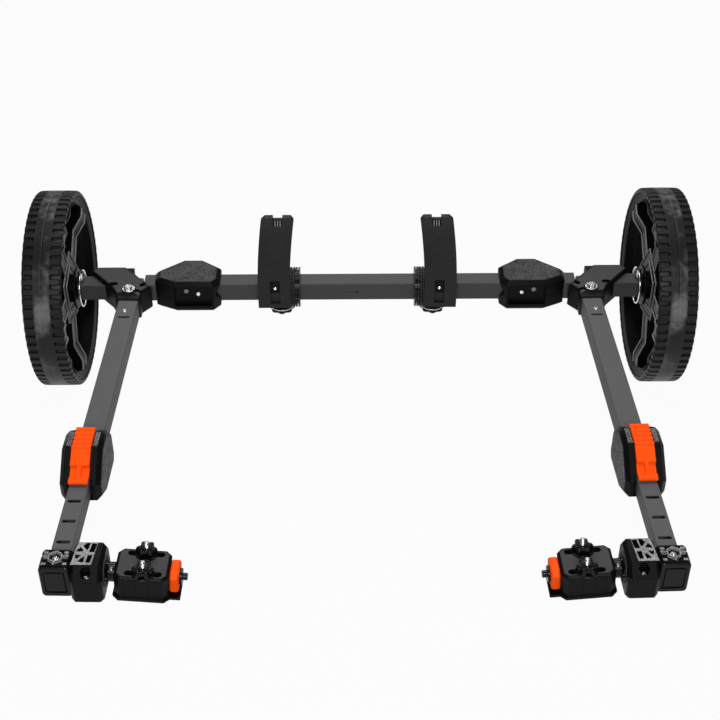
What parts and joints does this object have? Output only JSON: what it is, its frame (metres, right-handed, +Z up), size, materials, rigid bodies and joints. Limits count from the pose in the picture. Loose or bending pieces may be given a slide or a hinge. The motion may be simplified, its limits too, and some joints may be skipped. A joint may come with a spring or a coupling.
{
  "type": "kayak cart",
  "caption": "U-shaped telescoping cart frame on two wheels, with tilting hull pads on the crossbar and clamping track bases on the arm ends.",
  "frame": {"origin": "on the floor under the middle of the whole cart as it stands on its wheels and arm ends", "axes": "+Z up, +X along the crossbar to the right, the arms point towards -Y"},
  "size_m": [0.9888, 0.7772, 0.302],
  "materials": {
    "grey_tube": "satin dark grey anodised",
    "black_plastic": "moulded, slightly satin",
    "grey_plastic": "moulded, fine spark texture",
    "orange_plastic": "moulded, satin",
    "tyre_rubber": "matt, grooved",
    "zinc_steel": "bright zinc"
  },
  "bodies": {
    "crossbar": {"crossbar_tube": "grey_tube", "bar_latch_left_upper": "black_plastic", "bar_latch_left_lower": "black_plastic", "bar_latch_right_upper": "black_plastic", "bar_latch_right_lower": "black_plastic"},
    "end_left": {"bar_end_tube_left": "grey_tube", "corner_bracket_left": "grey_plastic", "bracket_bolt_left": "zinc_steel", "axle_left": "grey_plastic", "lock_pin_left": "zinc_steel", "arm_outer_tube_left": "grey_tube", "arm_latch_left_inner": "black_plastic", "arm_latch_left_outer": "black_plastic"},
    "wheel_left": {"wheel_rim_left": "black_plastic", "tyre_left": "tyre_rubber"},
    "bail_left": {"pin_bail_left": "zinc_steel"},
    "bar_lever_left": {"bar_latch_lever_left": "orange_plastic"},
    "arm_lever_left": {"arm_latch_lever_left": "orange_plastic"},
    "arm_inner_left": {"arm_inner_tube_left": "grey_tube", "knuckle_left": "black_plastic", "end_cap_left": "black_plastic"},
    "neck_left": {"swivel_neck_left": "black_plastic"},
    "base_left": {"track_base_left": "grey_plastic"},
    "release_left": {"release_catch_left": "orange_plastic", "release_pin_left": "black_plastic"},
    "bolt_left_front": {"track_bolt_left_front": "zinc_steel"},
    "knob_left_front": {"track_knob_left_front": "black_plastic"},
    "bolt_left_back": {"track_bolt_left_back": "zinc_steel"},
    "knob_left_back": {"track_knob_left_back": "black_plastic"},
    "support_left": {"support_collar_left": "black_plastic"},
    "pad_left": {"hull_pad_left": "black_plastic"},
    "support_knob_left": {"support_knob_left": "black_plastic"},
    "end_right": {"bar_end_tube_right": "grey_tube", "corner_bracket_right": "grey_plastic", "bracket_bolt_right": "zinc_steel", "axle_right": "grey_plastic", "lock_pin_right": "zinc_steel", "arm_outer_tube_right": "grey_tube", "arm_latch_right_inner": "black_plastic", "arm_latch_right_outer": "black_plastic"},
    "wheel_right": {"wheel_rim_right": "black_plastic", "tyre_right": "tyre_rubber"},
    "bail_right": {"pin_bail_right": "zinc_steel"},
    "bar_lever_right": {"bar_latch_lever_right": "orange_plastic"},
    "arm_lever_right": {"arm_latch_lever_right": "orange_plastic"},
    "arm_inner_right": {"arm_inner_tube_right": "grey_tube", "knuckle_right": "black_plastic", "end_cap_right": "black_plastic"},
    "neck_right": {"swivel_neck_right": "black_plastic"},
    "base_right": {"track_base_right": "grey_plastic"},
    "release_right": {"release_catch_right": "orange_plastic", "release_pin_right": "black_plastic"},
    "bolt_right_front": {"track_bolt_right_front": "zinc_steel"},
    "knob_right_front": {"track_knob_right_front": "black_plastic"},
    "bolt_right_back": {"track_bolt_right_back": "zinc_steel"},
    "knob_right_back": {"track_knob_right_back": "black_plastic"},
    "support_right": {"support_collar_right": "black_plastic"},
    "pad_right": {"hull_pad_right": "black_plastic"},
    "support_knob_right": {"support_knob_right": "black_plastic"}
  },
  "joints": [
    {"name": "bar_extend_left", "type": "slide", "parent": "crossbar", "child": "end_left", "axis": [-1, 0, 0], "range_m": [0, 0.108]},
    {"name": "wheel_spin_left", "type": "hinge", "parent": "end_left", "child": "wheel_left", "pos_m": [-0.463, 0.23757, 0.151], "axis": [1, 0, 0], "continuous": true},
    {"name": "pin_bail_left", "type": "hinge", "parent": "end_left", "child": "bail_left", "pos_m": [-0.4315, 0.23217, 0.17792], "axis": [0, -0.9805, -0.1966], "range_deg": [-4, 10]},
    {"name": "bar_lever_press_left", "type": "hinge", "parent": "crossbar", "child": "bar_lever_left", "pos_m": [-0.278, 0.27188, 0.15788], "axis": [0, 0.1966, -0.9805], "range_deg": [0, 6], "stiffness_Nm_per_rad": 0.8, "springref_deg": -8.59},
    {"name": "arm_lever_press_left", "type": "hinge", "parent": "end_left", "child": "arm_lever_left", "pos_m": [-0.36255, -0.18783, 0.10138], "axis": [-0.9996, 0.0265, 0.0053], "range_deg": [0, 6], "stiffness_Nm_per_rad": 0.8, "springref_deg": -8.59},
    {"name": "arm_extend_left", "type": "slide", "parent": "end_left", "child": "arm_inner_left", "axis": [-0.027, -0.9801, -0.1966], "range_m": [-0.072, 0.144]},
    {"name": "neck_roll_left", "type": "hinge", "parent": "arm_inner_left", "child": "neck_left", "pos_m": [-0.31658, -0.35479, 0.0322], "axis": [-0.027, -0.9801, -0.1966], "range_deg": [-6, 15]},
    {"name": "base_swing_left", "type": "hinge", "parent": "neck_left", "child": "base_left", "pos_m": [-0.266, -0.35535, 0.02803], "axis": [0.9966, -0.011, -0.0822], "range_deg": [-100, 100]},
    {"name": "release_pull_left", "type": "slide", "parent": "base_left", "child": "release_left", "axis": [0.9966, -0.011, -0.0822], "range_m": [0, 0.005], "stiffness_N_per_m": 400, "springref_m": -0.01},
    {"name": "bolt_slide_left_front", "type": "slide", "parent": "base_left", "child": "bolt_left_front", "axis": [0.9966, -0.011, -0.0822], "range_m": [-0.0175, 0.0175]},
    {"name": "knob_spin_left_front", "type": "hinge", "parent": "bolt_left_front", "child": "knob_left_front", "pos_m": [-0.26312, -0.37491, 0.04123], "axis": [0.0784, -0.1981, 0.977], "continuous": true},
    {"name": "bolt_slide_left_back", "type": "slide", "parent": "base_left", "child": "bolt_left_back", "axis": [0.9966, -0.011, -0.0822], "range_m": [-0.0175, 0.0175]},
    {"name": "knob_spin_left_back", "type": "hinge", "parent": "bolt_left_back", "child": "knob_left_back", "pos_m": [-0.26223, -0.34257, 0.04772], "axis": [0.0784, -0.1981, 0.977], "continuous": true},
    {"name": "support_slide_left", "type": "slide", "parent": "crossbar", "child": "support_left", "axis": [-1, 0, 0], "range_m": [-0.075, 0.055]},
    {"name": "pad_tilt_left", "type": "hinge", "parent": "support_left", "child": "pad_left", "pos_m": [-0.1325, 0.23757, 0.151], "axis": [1, 0, 0], "range_deg": [-90, 90]},
    {"name": "support_knob_spin_left", "type": "hinge", "parent": "pad_left", "child": "support_knob_left", "pos_m": [-0.1225, 0.24366, 0.12061], "axis": [0, -0.1966, 0.9805], "continuous": true},
    {"name": "bar_extend_right", "type": "slide", "parent": "crossbar", "child": "end_right", "axis": [1, 0, 0], "range_m": [0, 0.108]},
    {"name": "wheel_spin_right", "type": "hinge", "parent": "end_right", "child": "wheel_right", "pos_m": [0.463, 0.23757, 0.151], "axis": [1, 0, 0], "continuous": true},
    {"name": "pin_bail_right", "type": "hinge", "parent": "end_right", "child": "bail_right", "pos_m": [0.4315, 0.23217, 0.17792], "axis": [0, 0.9805, 0.1966], "range_deg": [-4, 10]},
    {"name": "bar_lever_press_right", "type": "hinge", "parent": "crossbar", "child": "bar_lever_right", "pos_m": [0.278, 0.27188, 0.15788], "axis": [0, -0.1966, 0.9805], "range_deg": [0, 6], "stiffness_Nm_per_rad": 0.8, "springref_deg": -8.59},
    {"name": "arm_lever_press_right", "type": "hinge", "parent": "end_right", "child": "arm_lever_right", "pos_m": [0.36255, -0.18783, 0.10138], "axis": [-0.9996, -0.0265, -0.0053], "range_deg": [0, 6], "stiffness_Nm_per_rad": 0.8, "springref_deg": -8.59},
    {"name": "arm_extend_right", "type": "slide", "parent": "end_right", "child": "arm_inner_right", "axis": [0.027, -0.9801, -0.1966], "range_m": [-0.072, 0.144]},
    {"name": "neck_roll_right", "type": "hinge", "parent": "arm_inner_right", "child": "neck_right", "pos_m": [0.31658, -0.35479, 0.0322], "axis": [-0.027, 0.9801, 0.1966], "range_deg": [-6, 15]},
    {"name": "base_swing_right", "type": "hinge", "parent": "neck_right", "child": "base_right", "pos_m": [0.266, -0.35535, 0.02803], "axis": [0.9966, 0.011, 0.0822], "range_deg": [-100, 100]},
    {"name": "release_pull_right", "type": "slide", "parent": "base_right", "child": "release_right", "axis": [-0.9966, -0.011, -0.0822], "range_m": [0, 0.005], "stiffness_N_per_m": 400, "springref_m": -0.01},
    {"name": "bolt_slide_right_front", "type": "slide", "parent": "base_right", "child": "bolt_right_front", "axis": [0.9966, 0.011, 0.0822], "range_m": [-0.0175, 0.0175]},
    {"name": "knob_spin_right_front", "type": "hinge", "parent": "bolt_right_front", "child": "knob_right_front", "pos_m": [0.26312, -0.37491, 0.04123], "axis": [-0.0784, -0.1981, 0.977], "continuous": true},
    {"name": "bolt_slide_right_back", "type": "slide", "parent": "base_right", "child": "bolt_right_back", "axis": [0.9966, 0.011, 0.0822], "range_m": [-0.0175, 0.0175]},
    {"name": "knob_spin_right_back", "type": "hinge", "parent": "bolt_right_back", "child": "knob_right_back", "pos_m": [0.26223, -0.34257, 0.04772], "axis": [-0.0784, -0.1981, 0.977], "continuous": true},
    {"name": "support_slide_right", "type": "slide", "parent": "crossbar", "child": "support_right", "axis": [1, 0, 0], "range_m": [-0.075, 0.055]},
    {"name": "pad_tilt_right", "type": "hinge", "parent": "support_right", "child": "pad_right", "pos_m": [0.1236, 0.23757, 0.151], "axis": [1, 0, 0], "range_deg": [-90, 90]},
    {"name": "support_knob_spin_right", "type": "hinge", "parent": "pad_right", "child": "support_knob_right", "pos_m": [0.1136, 0.24366, 0.12061], "axis": [0, -0.1966, 0.9805], "continuous": true}
  ]
}
